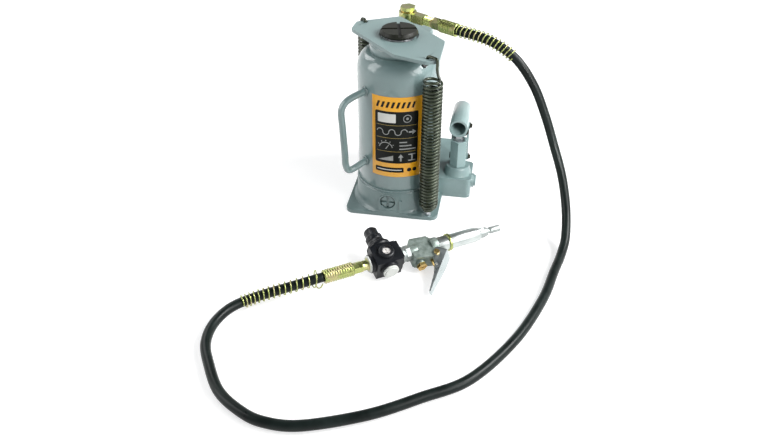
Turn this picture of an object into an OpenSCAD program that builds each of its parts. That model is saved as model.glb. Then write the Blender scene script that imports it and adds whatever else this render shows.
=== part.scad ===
// Air and hand operated bottle jack with return springs, hose, regulator and lever valve.
// Millimetres, +Z up, +X to the hand pump, -Y to the release valve.
// Origin: the ram's axis on the underside of the base.

/* [Base] */
// plate width along X
base_w = 128; // [124:1:140]
// ram axis to the plate's front edge
base_front = 57; // [56:1:66]
// plate edge behind the air motor
base_tail = 1; // [1:1:14]
// plate thickness
plate_t = 5; // [4:0.5:8]
// plate corner radius
plate_r = 11; // [6:1:14]
// top of the cast foot, where the tank is welded
foot_h = 39; // [37:1:44]
// height of the rear deck under the air motor
deck_h = 28; // [26:1:31]

/* [Tank] */
// tank outside radius
tank_r = 54; // [53:0.5:56]
// tank wall
tank_wall = 4; // [3:0.5:5]
// top of the straight tank wall
tank_top = 198; // [190:1:202]
// top of the tank neck
neck_z = 222; // [218:1:226]
// neck radius
neck_r = 38; // [37:0.5:40]

/* [Ram] */
// ram radius
ram_r = 22.5; // [21.5:0.5:23.5]
// cylinder bore radius
bore_r = 27.5; // [26.5:0.5:28.5]
// cylinder wall
bore_wall = 5; // [4:0.5:6]
// extension screw thread radius
screw_r = 15.9; // [14:0.1:16.5]
// extension screw pitch
screw_p = 5; // [4:0.5:6]
// saddle radius
saddle_r = 24.5; // [23:0.5:26]
// saddle height
saddle_h = 6.5; // [6:0.5:9]

/* [Lifting plate] */
// plate thickness
lift_t = 4.5; // [4:0.5:6]
// saddle hole radius
lift_hole_r = 25; // [24:0.5:27]

/* [Springs] */
// coil outside diameter
coil_od = 26; // [24:0.5:28]
// wire diameter
coil_wire = 3.7; // [3:0.1:4]
// number of coils
coils = 39; // [34:1:44]
// top of the coils
coil_top = 205; // [195:1:210]

/* [Hand pump] */
// pump axis X
pump_x = 82; // [81:0.5:84]
// pump axis Y
pump_y = 30; // [28:0.5:32]
// plunger radius
plunger_r = 6.5; // [6:0.25:7]
// pump body width across flats
pump_af = 22; // [21:0.5:24]
// top of the pump body
pump_top = 82; // [78:1:83]
// handle socket bore radius
socket_r = 9.75; // [9:0.25:10.5]
// handle socket wall
socket_wall = 2.75; // [2:0.25:3.5]
// handle socket length
socket_len = 60; // [54:1:66]
// pin radius
pin_r = 3; // [2.5:0.25:3.5]

/* [Air motor] */
// motor tube outside radius
motor_r = 33; // [31:0.5:33.5]
// motor tube wall
motor_wall = 3; // [2.5:0.5:4]
// top of the motor head
motor_top = 214; // [206:1:218]
// height of the air inlet boss on the head
inlet_h = 14; // [10:1:18]

/* [Carry handle] */
// rod radius
grip_r = 4.5; // [4:0.25:5.5]
// gap between the tank and the grip
grip_gap = 32; // [28:1:36]

/* [Hose] */
// hose radius
hose_r = 6; // [5.5:0.25:6.5]
// guard spring wire radius
guard_wire = 0.8; // [0.6:0.1:1]

/* [Air valve] */
// height of the air line's axis over the floor
line_z = 17.8; // [17.8:0.2:20]
// regulator body width
reg_w = 42; // [38:1:44]
// supply tube radius
tube_r = 9.5; // [8.5:0.25:10]
// nipple radius
nipple_r = 4.5; // [4:0.25:5.5]
// depth of the lever's pressed web
lever_w = 16; // [12:1:17]

/* [Fits] */
// radial running clearance
run = 0.05; // [0.03:0.01:0.09]

/* [Hidden] */
$fn = 0;
$fa = 6;
$fs = 0.8;
foot_r = tank_r + 2;
floor_z = foot_h - 8;
lift_z = neck_z + 14.8;
ram_top = lift_z + lift_t - 0.2;
saddle_z = ram_top + 2;
cyl_r = bore_r + bore_wall;
nut_z = neck_z - 17;
block_h = 30;
boss_h = 42;
pin_z = 94;
eye_r = 5.5;
lug_z = 44;
link_y = pump_y + 20;
sock_z = pin_z + eye_r + 1 + socket_r + socket_wall;
motor_y = tank_r + motor_r + 5;
base_back = motor_y + motor_r + base_tail;
inlet = [-1.6, motor_y - 6.5];
eye_z = motor_top + inlet_h + 7;
eye_a = -31.1;
eye_dir = [cos(eye_a), sin(eye_a), 0];
eye_pos = [inlet[0], inlet[1], eye_z];
eye_len = 84;
valve_roll = 15;
pivot = [63, -16];
lever_t = 1.5;
line_a = 34.5;
line_dir = [cos(line_a), sin(line_a), 0];
reg_x = reg_w / 2;
screw_z = ram_top - 83;
spr_d = tank_r + coil_od / 2 + 4.4;
spr_f = spr_d * [cos(-44.4), sin(-44.4)];
spr_r = -spr_f;
// the rear spring stands on a raised seat
rear_up = 8;
valve_x = -4.5;
valve_z = 23;
paint = [0.60, 0.66, 0.66];
black = [0.09, 0.09, 0.10];
steel = [0.72, 0.73, 0.75];
gold = [0.80, 0.68, 0.32];
brass = [0.82, 0.62, 0.28];
zinc = [0.66, 0.69, 0.68];
rubber = [0.06, 0.06, 0.06];

// lifting plate outline and its two hook holes, drawn for springs 71.4 from the axis
lift_s = spr_d / 71.4;
lift_pts = [for (p = [[-64, 10], [-62, 36], [-8, 64], [60, -10], [60, -70], [44, -77], [4, -63]]) lift_s * p];
hook_f = lift_s * [45, -66];
hook_r = lift_s * [-50, 36];
// where the end wires pass the plate's edge
edge_f = lift_s * [58, -73.6];
edge_r = lift_s * [-56.5, 41.7];

// hose route: the first and last points only set the end directions
hose_pts = [
  eye_pos + (eye_len - 40) * eye_dir, eye_pos + eye_len * eye_dir, [112, 26, eye_z - 4], [147, 19, 213], [174, 12, 181], [193, 4, 144],
  [209, -7, 106], [224, -25, 70], [233, -51, 38], [235, -85, 16], [230, -115, 8], [222, -147, 6.4],
  [208, -206, 6.4], [179, -280, 6.4], [135, -348, 6.4], [87, -383, 6.4], [37, -415, 6.4],
  [-25, -440, 6.4], [-64, -442, 6.4], [-92, -432, 6.4], [-122, -410, 6.4], [-146, -374, 6.4],
  [-160, -345, 6.4], [-162, -315, 7.2], [-152, -287, 8.4], [-131, -267, 10.2], [-96, -247, 14.4],
  [-54.6, -222.4, line_z], [-20, -198.6, line_z]];

// ---------- helpers ----------
module rrect(x0, x1, y0, y1, r) polygon(concat(
  [for (a = [0:15:90]) [x1 - r + r * cos(a), y1 - r + r * sin(a)]],
  [for (a = [90:15:180]) [x0 + r + r * cos(a), y1 - r + r * sin(a)]],
  [for (a = [180:15:270]) [x0 + r + r * cos(a), y0 + r + r * sin(a)]],
  [for (a = [270:15:360]) [x1 - r + r * cos(a), y0 + r + r * sin(a)]]));
// upright block with a round top, w wide, its arch centred at height z
module arch(w, z) polygon(concat([[-w / 2, 0], [w / 2, 0]],
  [for (a = [0:15:180]) [w / 2 * cos(a), z + w / 2 * sin(a)]]));
module ring(ro, ri, h) difference() {
  cylinder(r = ro, h = h);
  translate([0, 0, -1]) cylinder(r = ri, h = h + 2);
}
// cylinder along +X and along +Y from a point
module xcyl(x, y, z, r, h) translate([x, y, z]) rotate([0, 90, 0]) cylinder(r = r, h = h);
module ycyl(x, y, z, r, h) translate([x, y, z]) rotate([-90, 0, 0]) cylinder(r = r, h = h);
function unit(v) = v / norm(v);
// point on a smooth curve through p, t counted from the second point
function crv(p, t) = let (n = len(p) - 3, i = min(floor(t), n - 1), u = t - i,
    a = p[i], b = p[i + 1], c = p[i + 2], d = p[i + 3])
  0.5 * ((2 * b) + (c - a) * u + (2 * a - 5 * b + 4 * c - d) * u * u
    + (3 * b - a - 3 * c + d) * u * u * u);
function tan_at(p, i) = let (n = len(p) - 1)
  unit(p[min(i + 1, n)] - p[max(i - 1, 0)]);
// side vectors carried along the points without twist
function carried(p, s0) = [for (i = 0, s = s0 - (s0 * tan_at(p, 0)) * tan_at(p, 0); i < len(p);
    i = i + 1, s = i < len(p) ? s - (s * tan_at(p, i)) * tan_at(p, i) : s) unit(s)];
// tube swept through a list of points
module tube(p, r, sides) {
  n = len(p);
  t0 = tan_at(p, 0);
  side = carried(p, cross(t0, abs(t0[2]) > 0.8 ? [0, 1, 0] : [0, 0, 1]));
  ring_pts = [for (i = [0:n - 1]) let (s = side[i], w = cross(tan_at(p, i), s))
    for (k = [0:sides - 1]) p[i] + r * (cos(360 * k / sides) * s + sin(360 * k / sides) * w)];
  polyhedron(points = ring_pts, faces = concat(
    [[for (k = [0:sides - 1]) k]],
    [for (i = [0:n - 2], k = [0:sides - 1]) let (k2 = (k + 1) % sides)
      each [[i * sides + k, (i + 1) * sides + k, (i + 1) * sides + k2],
        [i * sides + k, (i + 1) * sides + k2, i * sides + k2]]],
    [[for (k = [sides - 1:-1:0]) (n - 1) * sides + k]]));
}
// helix points round the hose route from t0 to t1
function guard_pts(t0, t1, turns, steps, grow) = [for (j = [0:turns * steps])
  let (f = j / (turns * steps), t = t0 + (t1 - t0) * f, c = crv(hose_pts, t),
    d = unit(crv(hose_pts, t + 0.01) - crv(hose_pts, t - 0.01)),
    s = unit(cross(d, [0, 0, 1])), w = cross(s, d), a = 360 * j / steps,
    r = hose_r + guard_wire + 0.9 + (grow > 0 ? 3 * max(0, f - 0.86) / 0.14 : 0))
  c + r * (cos(a) * s + sin(a) * w)];

// ---------- base ----------
module base_plan() rrect(-base_w / 2, base_w / 2, -base_front, base_back, plate_r);
module base_casting() color(paint) difference() {
  union() {
    linear_extrude(plate_t) base_plan();
    intersection() {
      rotate_extrude() polygon([[0, 0], [foot_r + 5, 0], [foot_r + 5, plate_t + 0.5],
        [foot_r + 2.5, plate_t + 2], [foot_r + 0.8, plate_t + 5], [foot_r, plate_t + 10],
        [foot_r, foot_h - 2], [foot_r - 2, foot_h], [0, foot_h]]);
      linear_extrude(foot_h) base_plan();
    }
    linear_extrude(deck_h) rrect(-35, 80, 50, base_back, 8);
    translate([spr_r[0], spr_r[1], 0]) cylinder(r = 12, h = plate_t + rear_up);
    // release valve boss and its rib
    translate([valve_x, -base_front + 30, 0]) rotate([90, 0, 0]) linear_extrude(29.5) arch(24.5, valve_z);
    translate([11, -base_front + 1, 0]) cube([4, 20, 26]);
    // hand pump block
    linear_extrude(block_h) rrect(50, pump_x + 21, pump_y - 22, pump_y + 30, 7);
    translate([pump_x, pump_y, block_h - 1]) cylinder(r1 = 20, r2 = 16, h = boss_h - block_h + 1);
    xcyl(pump_x + 10, pump_y - 6, 21, 10, 15);
    // lug for the link pin
    translate([pump_x - 9, link_y, block_h - 1]) rotate([90, 0, 90]) linear_extrude(18)
      arch(12, lug_z - block_h + 1);
  }
  // cylinder seat
  translate([0, 0, floor_z]) cylinder(r = cyl_r, h = 30);
  // release valve bore, seat and ports
  ycyl(valve_x, -base_front - 1, valve_z, 10.5, 8.5);
  ycyl(valve_x, -base_front, valve_z, 5 + run, 27);
  ycyl(valve_x, -31, valve_z, 2, 20);
  translate([valve_x, -13, valve_z]) cylinder(r = 1.8, h = 30);
  translate([valve_x, -(cyl_r + tank_r - tank_wall) / 2, valve_z]) cylinder(r = 2, h = 30);
  // hand pump bore and gallery
  translate([pump_x, pump_y, 26]) cylinder(r = 9.5, h = 30);
  translate([pump_x, pump_y, 18]) cylinder(r = plunger_r + 0.5, h = 10);
  xcyl(8, pump_y - 6, 21, 2.2, 90);
  xcyl(pump_x + 15, pump_y - 6, 21, 5, 30);
  translate([9, pump_y - 7, 21]) cylinder(r = 1.6, h = 30);
  // air pump bore and gallery
  translate([0, motor_y, 14]) cylinder(r = 8.5, h = 30);
  ycyl(0, 14, 17, 2.2, motor_y - 14);
  translate([0, 16, 17]) cylinder(r = 1.8, h = 30);
  // link pin hole, muffler hole, spring post holes
  xcyl(pump_x - 20, link_y, lug_z, pin_r, 40);
  translate([spr_f[0], spr_f[1], 2]) cylinder(r = 4, h = 40);
  translate([spr_r[0], spr_r[1], 2 + rear_up]) cylinder(r = 4, h = 40);
}
module release_valve() color(steel) translate([valve_x, -base_front, valve_z]) difference() {
  union() {
    ycyl(0, 2, 0, 9, 4.5);
    ycyl(0, 6.5, 0, 5, 17);
    translate([0, 23.5, 0]) rotate([-90, 0, 0]) cylinder(r1 = 5, r2 = 2, h = 2.2);
  }
  // cross slot
  translate([-1.5, 1, -12]) cube([3, 3, 24]);
  translate([-12, 1, -1.5]) cube([24, 3, 3]);
  // seal groove
  difference() {
    ycyl(0, 16, 0, 6, 3);
    ycyl(0, 15, 0, 3.6, 5);
  }
}
module valve_seal() color(rubber) translate([valve_x, -base_front + 16, valve_z]) rotate([-90, 0, 0])
  ring(5, 3.6, 3);
module side_plug() color(steel) union() {
  xcyl(pump_x + 15, pump_y - 6, 21, 5, 10);
  xcyl(pump_x + 25, pump_y - 6, 21, 8, 2.5);
}
module spring_post(p, up) color(steel) translate([p[0], p[1], 2 + up]) difference() {
  union() {
    cylinder(r = 4, h = 14);
    translate([0, 0, 14]) cylinder(r1 = 4, r2 = 3, h = 3);
  }
  translate([0, 0, 13]) cylinder(r = 1.2, h = 6);
}
module spring_post_front() spring_post(spr_f, 0);
module spring_post_rear() spring_post(spr_r, rear_up);

// ---------- tank, cylinder and ram ----------
module tank() color(paint) difference() {
  rotate_extrude() polygon(concat(
    [[tank_r - tank_wall, foot_h], [tank_r - 0.6, foot_h], [tank_r, foot_h + 1]],
    [for (a = [0:10:90]) [neck_r + (tank_r - neck_r) * cos(a), tank_top + (neck_z - tank_top) * sin(a)]],
    [[neck_r - 4, neck_z]],
    [for (a = [90:-10:0]) [neck_r - 4 + (tank_r - neck_r) * cos(a) * (tank_r - tank_wall - neck_r + 4)
      / (tank_r - neck_r), tank_top - 2 + (neck_z - tank_top - 3) * sin(a)]]));
  filler_at() cylinder(r = 2.8, h = 30, center = true);
}
// seat of the filler plug, square to the tank's rounded shoulder
module filler_at() let (a = 49, w = tank_r - neck_r, h = neck_z - tank_top) rotate([0, 0, -40])
  translate([neck_r + w * cos(a), 0, tank_top + h * sin(a)])
    rotate([0, atan2(h * cos(a), w * sin(a)), 0]) children();
module filler_plug() color(rubber) difference() {
  filler_at() union() {
    translate([0, 0, -6]) cylinder(r = 2.8 - run, h = 6.5);
    translate([0, 0, 0.3]) cylinder(r1 = 3.6, r2 = 2.8, h = 1.6);
  }
  rotate_extrude() polygon([[0, 0], [tank_r - tank_wall, 0], [tank_r - tank_wall, tank_top - 2],
    [neck_r - 4, neck_z - 5], [0, neck_z - 5]]);
}
module top_nut() color(paint) rotate_extrude() polygon([[ram_r + run, nut_z], [neck_r - 4, nut_z],
  [neck_r - 4, neck_z], [neck_r - 0.5, neck_z], [neck_r - 0.5, neck_z + 9], [neck_r - 1.5, neck_z + 10],
  [neck_r - 1.5, neck_z + 11], [neck_r - 0.5, neck_z + 12], [neck_r - 1.5, neck_z + 14], [ram_r + 5, neck_z + 14],
  [ram_r + 4, neck_z + 13], [ram_r + 4, neck_z + 8], [ram_r + run, neck_z + 8]]);
module rod_wiper() color(rubber) rotate_extrude() polygon([[ram_r + run, neck_z + 8],
  [ram_r + 4, neck_z + 8], [ram_r + 4, neck_z + 13], [ram_r + 1, neck_z + 13], [ram_r + run, neck_z + 11]]);
module inner_cylinder() color(steel) translate([0, 0, floor_z]) ring(cyl_r, bore_r, nut_z - floor_z);
module ram() color(steel) rotate_extrude() polygon([[0, floor_z + 3], [bore_r - 3, floor_z + 3],
  [bore_r - run, floor_z + 6], [bore_r - run, floor_z + 11], [bore_r - 4, floor_z + 11],
  [bore_r - 4, floor_z + 17], [bore_r - run, floor_z + 17], [bore_r - run, floor_z + 23],
  [ram_r, floor_z + 25], [ram_r, lift_z], [ram_r - 2.5, lift_z], [ram_r - 2.5, ram_top],
  [screw_r + run, ram_top], [screw_r + run, screw_z - 8], [0, screw_z - 12]]);
module piston_seal() color(rubber) translate([0, 0, floor_z + 11]) ring(bore_r - run, bore_r - 4, 6);
module extension_screw() color(steel) rotate_extrude() polygon(concat(
  [[0, screw_z], [screw_r - 2.5, screw_z]],
  [for (i = [0:13]) let (z = screw_z + 2 + i * screw_p)
    each [[screw_r - 1.8, z], [screw_r, z + 0.35 * screw_p], [screw_r, z + 0.65 * screw_p]]],
  [[screw_r - 1.8, screw_z + 2 + 14 * screw_p], [screw_r - 1.8, saddle_z], [9, saddle_z],
   [9, saddle_z + 3], [0, saddle_z + 3]]));
module saddle() color(black) difference() {
  rotate_extrude() polygon([[0, saddle_z], [saddle_r - 1, saddle_z], [saddle_r, saddle_z + 0.8],
    [saddle_r, saddle_z + 0.35 * saddle_h], [saddle_r - 2.5, saddle_z + saddle_h],
    [0, saddle_z + saddle_h]]);
  translate([0, 0, saddle_z - 1]) cylinder(r = 9 + run, h = 4.2);
  rotate([0, 0, 12]) for (a = [0, 90]) rotate([0, 0, a])
    translate([-30, -2, saddle_z + saddle_h - 2.6]) cube([60, 4, 5]);
}
module lift_plate() color(paint) translate([0, 0, lift_z]) difference() {
  linear_extrude(lift_t) lift_plan();
  translate([0, 0, 2]) cylinder(r = lift_hole_r, h = 10);
  translate([0, 0, -1]) cylinder(r = ram_r - 2.5, h = 10);
  for (p = [hook_f, hook_r]) translate([p[0], p[1], -1]) cylinder(r = 3.2, h = 10);
}
// polygon with its corners cut by short bevels
module lift_plan() polygon([for (i = [0:len(lift_pts) - 1])
  let (n = len(lift_pts), a = lift_pts[(i + n - 1) % n], b = lift_pts[i], c = lift_pts[(i + 1) % n],
    u = unit(a - b), v = unit(c - b), k = min(4, norm(a - b) / 3, norm(c - b) / 3))
  each [b + k * u, b + 0.42 * k * (u + v) * 0.5, b + k * v]]);

// ---------- return springs ----------
module coil(p, d, w, z0, z1, n, neck) translate([p[0], p[1], 0]) rotate_extrude() polygon(concat(
  neck > 0 ? [[neck, z0 - 9], [neck + w, z0 - 9], [neck + w, z0 - 5], [d / 2 - 1, z0 - 1]] : [[d / 2 - w, z0]],
  [for (i = [0:n - 1]) each [[d / 2 - 0.32 * w, z0 + (z1 - z0) * i / n], [d / 2, z0 + (z1 - z0) * (i + 0.5) / n]]],
  [[d / 2 - 0.32 * w, z1], [d / 2, z1 + 0.3 * w], [d / 2, z1 + w], [d / 2 - w, z1 + w]],
  neck > 0 ? [[d / 2 - w, z0 + 2], [neck, z0 - 4]] : []));
// p: coil axis, h: hook hole, e: where the wire passes the plate's edge,
// a: where it leaves the coil, up: height of its seat over the plate
module return_spring(p, h, e, a, up) color(black) {
  coil(p, coil_od, coil_wire, 20 + up, coil_top + up, coils, 4.4);
  // end wire: up to the plate, over its edge, flat along it and down into the hook hole
  k = (coil_od - coil_wire) / 2;
  base = [p[0] + k * cos(a), p[1] + k * sin(a), coil_top + up + coil_wire / 2];
  over = lift_z + lift_t;
  u = unit([h[0] - e[0], h[1] - e[1], 0]);
  w = [e[0], e[1], 0];
  g = [h[0], h[1], 0];
  mid = [(base[0] + e[0]) / 2, (base[1] + e[1]) / 2, (base[2] + lift_z - 6) / 2];
  tube([base, base + [0, 0, 5], mid, w + [0, 0, lift_z - 6], w + [0, 0, lift_z],
    w + [0, 0, over - 1.2], w + 0.7 * u + [0, 0, over + 1.2], w + 2.6 * u + [0, 0, over + 2.4],
    w + 5 * u + [0, 0, over + 2.6], g - 3 * u + [0, 0, over + 2.6], g - 0.9 * u + [0, 0, over + 1.6],
    g + [0, 0, over - 0.8], g + [0, 0, lift_z], g + [0, 0, lift_z - 4.3]], coil_wire / 2 - 0.1, 8);
}
module spring_front() return_spring(spr_f, hook_f, edge_f, -40, 0);
module spring_rear() return_spring(spr_r, hook_r, edge_r, 200, rear_up);

// ---------- handle and label ----------
module carry_handle() color(paint) difference() {
  // bent rod: the grip leans out from the tank, and both ends run into its wall
  x = tank_r + grip_gap;
  t = tank_top;
  b = foot_h;
  rotate([0, 0, -133]) tube([for (i = [0:0.25:8]) crv([[x - 56, 0, t - 16], [x - 36, 0, t - 19], [x - 14, 0, t - 22],
    [x - 1, 0, t - 26.5], [x + 5.5, 0, t - 37], [x + 4.5, 0, t - 58], [x + 2, 0, b + 59], [x + 1, 0, b + 41],
    [x - 6, 0, b + 31.5], [x - 34, 0, b + 38], [x - 56, 0, b + 43]], i)], grip_r, 12);
  translate([0, 0, foot_h]) cylinder(r = tank_r, h = neck_z - foot_h);
}
module label() color([0.92, 0.64, 0.14]) rotate([0, 0, -119]) translate([0, 0, foot_h + 24])
  rotate_extrude(angle = 72) translate([tank_r + 0.03, 0]) square([0.35, tank_top - foot_h - 42]);

// ---------- hand pump ----------
module pump_body() color(paint) translate([pump_x, pump_y, 0]) difference() {
  union() {
    translate([0, 0, boss_h]) rotate([0, 0, 30]) cylinder(r = pump_af / 2 / cos(30), h = pump_top - boss_h, $fn = 6);
    translate([0, 0, 26]) cylinder(r = 9.5, h = boss_h - 26);
  }
  translate([0, 0, 20]) cylinder(r = plunger_r + run, h = 90);
  translate([0, 0, pump_top - 5]) cylinder(r1 = plunger_r + run, r2 = plunger_r + 2, h = 5.01);
}
module pump_plunger() color(steel) translate([pump_x, pump_y, 0]) difference() {
  union() {
    translate([0, 0, 28]) cylinder(r = plunger_r, h = pin_z - 12 - 28);
    translate([-4, -5, pin_z - 13]) cube([8, 10, 13]);
    xcyl(-4, 0, pin_z, eye_r, 8);
  }
  translate([-5, 0, pin_z - pin_r - 0.3]) cube([10, 2, 2 * pin_r + 0.6]);
  xcyl(-5, 0, pin_z, pin_r + 0.3, 10);
  xcyl(-5, 2, pin_z, pin_r + 0.3, 10);
}
module handle_socket() color(paint) translate([pump_x, 0, 0]) difference() {
  union() {
    ycyl(0, pump_y - 28, sock_z, socket_r + socket_wall, socket_len);
    for (s = [-1, 1]) translate([s * 6.75 - 2.25, 0, 0]) union() {
      translate([0, pump_y - 6, pin_z]) cube([4.5, link_y - pump_y + 12, sock_z - pin_z - 4]);
      translate([0, pump_y, pin_z - 6]) cube([4.5, link_y - pump_y, 12]);
      for (y = [pump_y, link_y]) xcyl(0, y, pin_z, 6, 4.5);
    }
  }
  ycyl(0, pump_y - 29, sock_z, socket_r, 47);
  xcyl(-20, pump_y, pin_z, pin_r, 40);
  xcyl(-20, link_y, pin_z, pin_r + run, 40);
}
module link(s) color(paint) translate([pump_x + s * 10.7 - 1.5, 0, 0]) difference() {
  union() {
    translate([0, link_y - 5, lug_z]) cube([3, 10, pin_z - lug_z]);
    for (z = [lug_z, pin_z]) xcyl(0, link_y, z, 5, 3);
  }
  for (z = [lug_z, pin_z]) xcyl(-1, link_y, z, pin_r, 5);
}
module link_right() link(1);
module link_left() link(-1);
module pin(y, z, w) color(black) union() {
  xcyl(pump_x - w - 1.5, y, z, pin_r, 2 * w + 5);
  xcyl(pump_x - w - 1.5, y, z, pin_r + 1.6, 1.5);
  xcyl(pump_x + w, y, z, pin_r + 1.6, 1.2);
}
module pin_link_top() pin(link_y, pin_z, 12.4);
module pin_link_bottom() pin(link_y, lug_z, 12.4);
module pin_plunger() pin(pump_y, pin_z, 9);

// ---------- air motor ----------
module motor_foot() color(paint) translate([0, motor_y, deck_h]) difference() {
  union() {
    cylinder(r = motor_r + 0.8, h = 12);
    cylinder(r = motor_r - motor_wall, h = 17);
    ycyl(0, 20, 6, 5.8, motor_r - 20 + 3);
  }
  translate([0, 0, -1]) cylinder(r = 8 + run, h = 30);
  ycyl(0, 20, 6, 4, 30);
}
module muffler() color(brass) union() {
  ycyl(0, motor_y + 20, deck_h + 6, 4, motor_r - 17);
  ycyl(0, motor_y + motor_r + 3, deck_h + 6, 6, 9);
}
module motor_tube() color(paint) translate([0, motor_y, deck_h + 12])
  ring(motor_r, motor_r - motor_wall, motor_top - 10 - deck_h - 12);
module motor_head() color(paint) difference() {
  union() {
    translate([0, motor_y, motor_top]) rotate_extrude() polygon([[0, -16], [motor_r - motor_wall, -16],
      [motor_r - motor_wall, -10], [motor_r, -10], [motor_r, -3], [motor_r - 3, 0], [0, 0]]);
    // inlet boss, off the axis toward the tank
    translate([inlet[0], inlet[1], motor_top - 2]) cylinder(r = 12, h = inlet_h + 2);
  }
  translate([inlet[0], inlet[1], motor_top - 17]) cylinder(r = 5, h = 60);
}
module air_piston() color([0.75, 0.76, 0.78]) translate([0, motor_y, 0]) difference() {
  union() {
    translate([0, 0, motor_top - 36]) cylinder(r = motor_r - motor_wall - run, h = 14);
    translate([0, 0, deck_h + 8]) cylinder(r = 8, h = motor_top - 40 - deck_h);
  }
  translate([0, 0, motor_top - 32]) difference() {
    cylinder(r = motor_r, h = 5);
    translate([0, 0, -1]) cylinder(r = motor_r - motor_wall - 4, h = 7);
  }
}
module air_piston_seal() color(rubber) translate([0, motor_y, motor_top - 32])
  ring(motor_r - motor_wall - run, motor_r - motor_wall - 4, 5);
module air_return_spring() color(steel)
  coil([0, motor_y], 40, 3, deck_h + 17.2, motor_top - 39.3, 12, 0);

// ---------- banjo and hose ----------
module at_eye() translate(eye_pos) rotate([0, 0, eye_a]) children();
module banjo_washer_low() color(brass) at_eye() translate([0, 0, -7]) ring(9, 5, 1);
module banjo_washer_top() color(brass) at_eye() translate([0, 0, 6]) ring(9, 5, 1);
module banjo_bolt() color(gold) at_eye() difference() {
  union() {
    translate([0, 0, -inlet_h - 8]) cylinder(r = 5, h = inlet_h + 16);
    translate([0, 0, 7]) cylinder(r = 9.5, h = 1.5);
    translate([0, 0, 8.4]) cylinder(r = 9.5 / cos(30), h = 4.2, $fn = 6);
  }
  translate([0, 0, -inlet_h - 9]) cylinder(r = 2, h = inlet_h + 10);
  xcyl(-8, 0, 0, 1.5, 16);
}
module banjo() color(gold) at_eye() difference() {
  union() {
    translate([0, 0, -6]) cylinder(r = 12, h = 12);
    translate([6, -6.5, -5.5]) cube([24, 13, 11]);
    translate([30, 0, 0]) rotate([0, 90, 0]) rotate_extrude() polygon(concat([[0, 0]],
      [for (i = [0:8]) each [[5.4, i * 1.6], [6.4, i * 1.6 + 0.8]]], [[5.4, 14.4], [5.4, 16], [0, 16]]));
  }
  translate([0, 0, -10]) cylinder(r = 5, h = 20);
  xcyl(4.6, 0, 0, 2.2, 50);
}
// crimped ferrule along +X from x = 0, hexagon first
module ferrule(hex_len, len) {
  rotate([0, 90, 0]) cylinder(r = 8.8, h = hex_len, $fn = 6);
  translate([hex_len, 0, 0]) rotate([0, 90, 0]) rotate_extrude() polygon(concat([[0, 0]],
    [for (i = [0:9]) let (k = (len - hex_len) / 10) each [[7.9, i * k], [8.9, i * k + k / 2]]],
    [[7.9, len - hex_len], [0, len - hex_len]]));
}
module ferrule_jack() color(gold) at_eye() translate([46, 0, 0]) difference() {
  ferrule(11, eye_len - 46);
  xcyl(-1, 0, 0, 2.2, 60);
}
// both ends leave their ferrules straight
module hose() color(rubber) let (a = crv(hose_pts, 0), b = crv(hose_pts, 26))
  tube(concat([a + run * eye_dir, a + 3 * eye_dir], [for (i = [1:77]) crv(hose_pts, 26 * i / 78)],
    [b - 3 * line_dir, b - run * line_dir]), hose_r, 12);
module guard_jack() color(gold) tube(guard_pts(0.05, 1.95, 14, 12, 0), guard_wire, 5);
module guard_valve() color(gold) tube(guard_pts(23.6, 25.9, 15, 12, 1), guard_wire, 5);

// ---------- regulator and lever valve ----------
module at_line() translate([13, -176, line_z]) rotate([0, 0, line_a]) children();
module at_reg() at_line() rotate([valve_roll, 0, 0]) children();
module ferrule_valve() color(gold) at_line() translate([-82, 0, 0]) difference() {
  rotate([0, 90, 0]) rotate_extrude() polygon(concat([[0, 0]],
    [for (i = [0:11]) each [[8, i * 3.2], [9, i * 3.2 + 1.6]]], [[8, 38.4], [0, 38.4]]));
  xcyl(-1, 0, 0, 2.2, 60);
}
module hex_sleeve() color(brass) at_line() difference() {
  union() {
    translate([-43.6, 0, 0]) rotate([0, 90, 0]) cylinder(r = 7.6, h = 12, $fn = 6);
    xcyl(-32, 0, 0, 6.4, 32 - reg_x);
    xcyl(-reg_x - 3, 0, 0, 8, 3);
  }
  xcyl(-50, 0, 0, 2.2, 50);
}
module regulator_body() color(black) at_reg() difference() {
  union() {
    translate([-reg_x + 4, -15, -14]) cube([reg_w - 8, 30, 28]);
    xcyl(-reg_x, 0, 0, 12, reg_w);
    ycyl(0, -18, 0, 12.2, 4);
    translate([reg_x - 8, -12, -12]) cube([7, 26, 26]);
    translate([0, 0, 13]) cylinder(r = 10, h = 4);
  }
  xcyl(-reg_x - 1, 0, 0, 4, reg_w + 2);
  translate([0, 0, 10]) cylinder(r = 6, h = 10);
  ycyl(0, -20, 0, 9, 12);
}
module gauge_plug() color(steel) at_reg() difference() {
  translate([0, 0, 10]) cylinder(r = 6, h = 7.6);
  translate([-4, -0.8, 16.4]) cube([8, 1.6, 3]);
  translate([-0.8, -4, 16.4]) cube([1.6, 8, 3]);
}
module regulator_cap() color([0.88, 0.88, 0.86]) at_reg() union() {
  ycyl(0, -18, 0, 9, 10);
  ycyl(0, -20.5, 0, 10, 2.5);
  ycyl(0, -21.5, 0, 8, 1.5);
}
module regulator_bonnet() color(black) at_reg() difference() {
  translate([0, 15, 0]) rotate([-90, 0, 0]) rotate_extrude() polygon([[0, 0], [14, 0], [14, 4], [12.5, 6],
    [12.5, 10], [11, 14], [0, 14]]);
  ycyl(0, 20, 0, 5 + run, 12);
}
module regulator_knob() color(black) at_reg() difference() {
  union() {
    translate([0, 29.4, 0]) rotate([-90, 0, 0]) rotate_extrude() polygon([[0, -6], [5, -6], [5, 0], [10.5, 0],
      [11, 1], [11, 7], [9.5, 9], [9, 10], [9, 18], [7.5, 20], [0, 20]]);
  }
  for (a = [0:45:315]) translate([0, 31, 0]) rotate([0, a, 0]) translate([11.6, 0, 0]) ycyl(0, 0, 0, 1.3, 20);
}
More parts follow.
